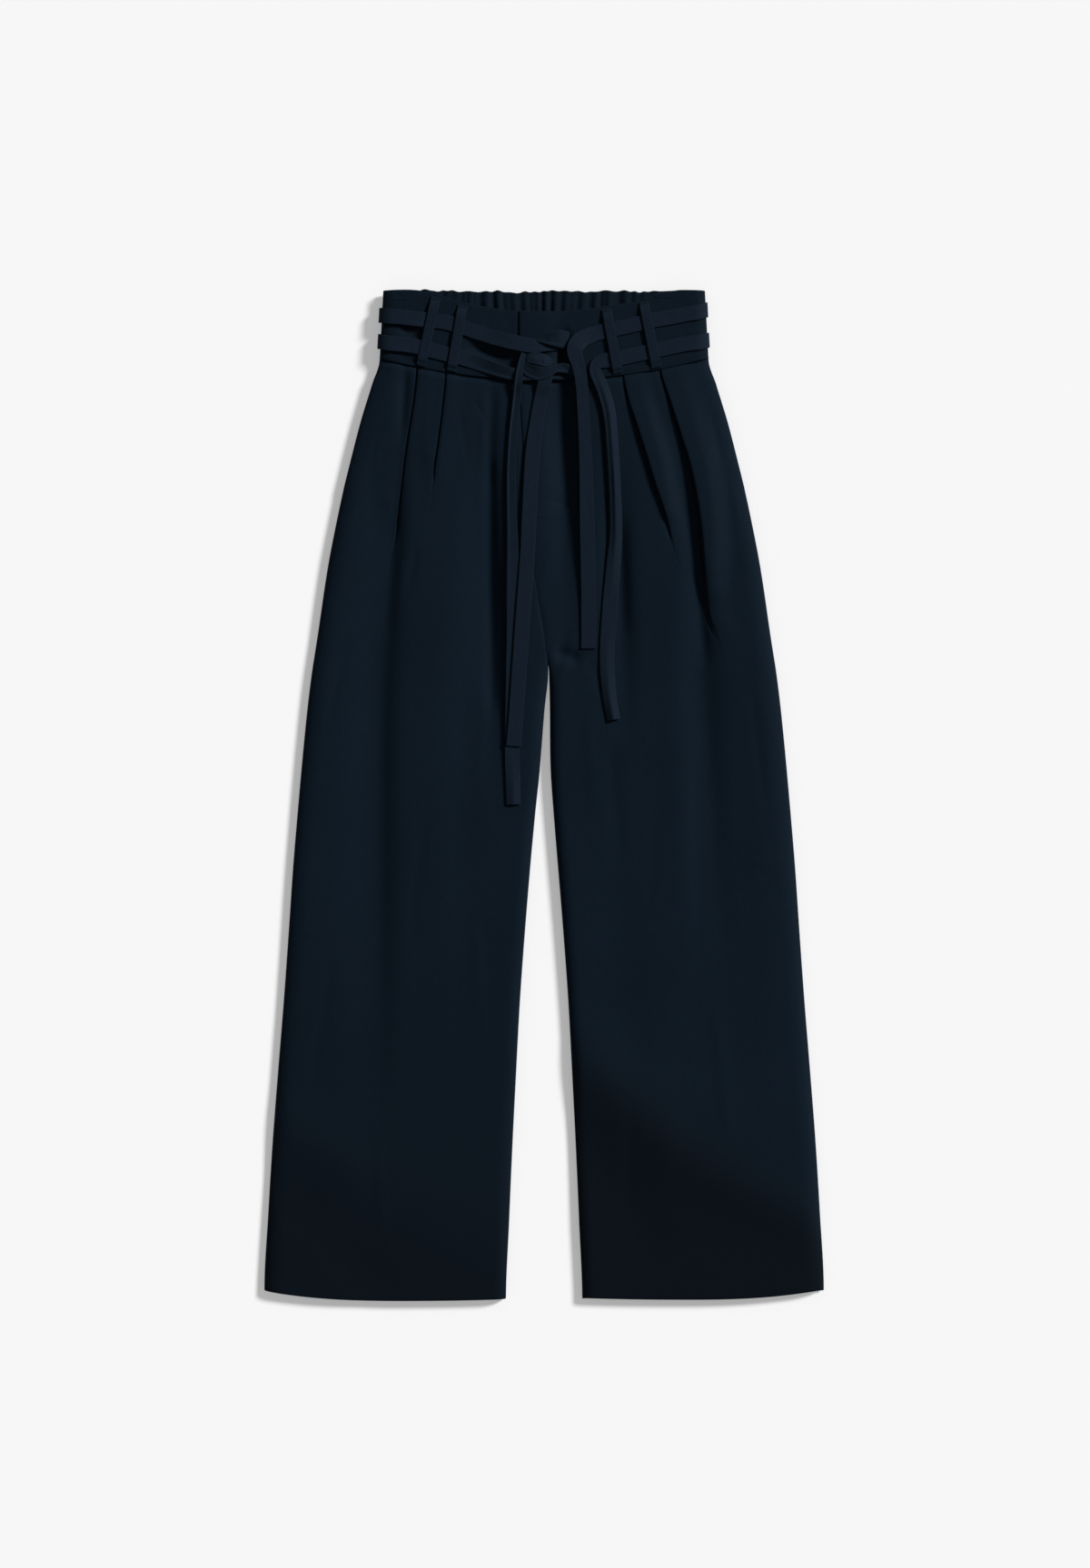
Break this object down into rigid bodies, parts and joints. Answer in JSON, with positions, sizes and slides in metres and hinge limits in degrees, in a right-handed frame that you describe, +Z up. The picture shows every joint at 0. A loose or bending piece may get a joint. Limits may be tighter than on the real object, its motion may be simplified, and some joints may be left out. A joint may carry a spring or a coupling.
{
  "type": "trousers",
  "caption": "Pleated wide-leg trousers with a high waistband, elastic back, belt loops and a double tied belt, laid flat.",
  "frame": {"origin": "bottom centre of the box round the trousers as they lie on their back", "axes": "+X to the right, +Y from the hems towards the waist, +Z up from the surface through the front"},
  "size_m": [0.5668, 1.023, 0.0288],
  "materials": {
    "trouser_cloth": "fine matt weave",
    "waistband_cloth": "fine matt weave",
    "belt_cloth": "fine matt weave",
    "loop_cloth": "fine matt weave",
    "pocket_cloth": "fine matt weave"
  },
  "bodies": {
    "root": {"front_left": "trouser_cloth", "front_right": "trouser_cloth", "back_left": "trouser_cloth", "back_right": "trouser_cloth", "waistband_front_left": "waistband_cloth", "waistband_front_right": "waistband_cloth", "waistband_back": "waistband_cloth", "belt_upper": "belt_cloth", "belt_lower": "belt_cloth", "tie_end_left": "belt_cloth", "tie_end_centre": "belt_cloth", "knot_wrap": "belt_cloth", "knot_bight": "belt_cloth", "loop_1": "loop_cloth", "loop_2": "loop_cloth", "loop_3": "loop_cloth", "loop_4": "loop_cloth", "loop_back_left": "loop_cloth", "loop_back_right": "loop_cloth", "pocket_left": "pocket_cloth", "pocket_right": "pocket_cloth"}
  },
  "joints": []
}
